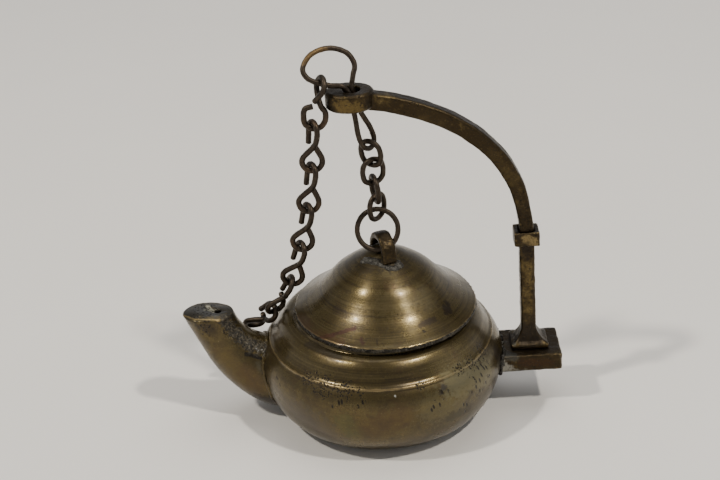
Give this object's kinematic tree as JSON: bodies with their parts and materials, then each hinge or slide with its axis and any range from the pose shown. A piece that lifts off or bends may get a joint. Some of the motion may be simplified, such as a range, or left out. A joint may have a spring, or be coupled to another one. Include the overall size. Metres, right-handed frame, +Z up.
{
  "type": "oil lamp",
  "caption": "Turned bronze oil lamp with a domed lid, a horn spout, a high bracket handle, a wire hanger and hanging chains.",
  "frame": {"origin": "centre of the bowl's flat base", "axes": "+Z up along the bowl's turned axis, +X from the bowl towards the handle, so the spout is at -X; -Y is the side with the ring and chains in view"},
  "size_m": [0.1242, 0.0802, 0.1268],
  "materials": {
    "turned_bronze": "aged bronze, turned, olive-brown patina",
    "cast_bronze": "aged bronze casting, dark brown patina",
    "bronze_wire": "dark brown aged bronze wire"
  },
  "bodies": {
    "root": {"body": "turned_bronze", "spout": "turned_bronze", "lid": "turned_bronze", "lid_eyelet": "cast_bronze", "lid_ring": "bronze_wire", "handle_bracket": "cast_bronze", "handle_post": "cast_bronze", "handle_arm": "cast_bronze", "suspension_ring": "bronze_wire", "chain_link_1": "bronze_wire", "chain_link_2": "bronze_wire", "chain_link_3": "bronze_wire", "chain_link_4": "bronze_wire", "s_link_1": "bronze_wire", "s_link_2": "bronze_wire", "s_link_3": "bronze_wire", "s_link_4": "bronze_wire", "s_link_5": "bronze_wire", "s_link_6": "bronze_wire", "s_link_7": "bronze_wire"}
  },
  "joints": []
}
